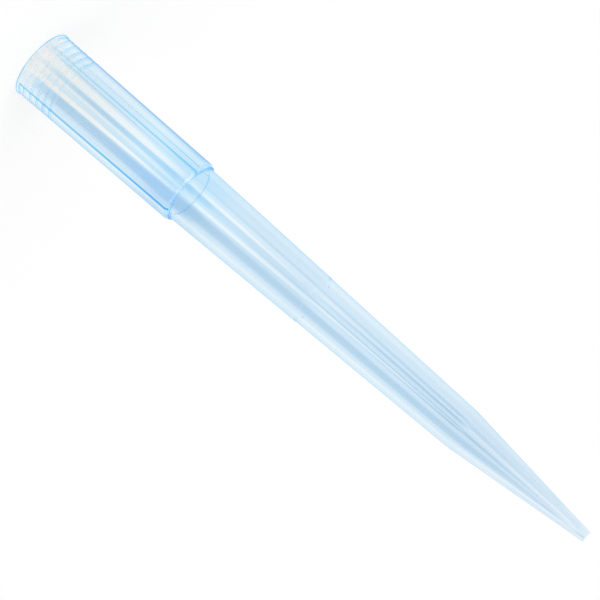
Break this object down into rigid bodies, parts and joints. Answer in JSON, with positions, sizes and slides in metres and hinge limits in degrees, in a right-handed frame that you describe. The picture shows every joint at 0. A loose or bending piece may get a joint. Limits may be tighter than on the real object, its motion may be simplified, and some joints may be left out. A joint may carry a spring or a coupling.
{
  "type": "pipette tip",
  "caption": "Long tapered laboratory pipette tip, open at both ends, with a ringed, ribbed collar that grips the pipette.",
  "frame": {"origin": "centre of the mouth rim, the face that the tip stands on", "axes": "+Z along the axis, from the mouth up to the fine end; one of the four collar ribs lies 57 degrees from +X towards +Y"},
  "size_m": [0.0088, 0.0088, 0.084],
  "materials": {
    "clear_blue_polypropylene": "clear, glossy, tinted pale blue"
  },
  "bodies": {
    "root": {"pipette_tip": "clear_blue_polypropylene"}
  },
  "joints": []
}
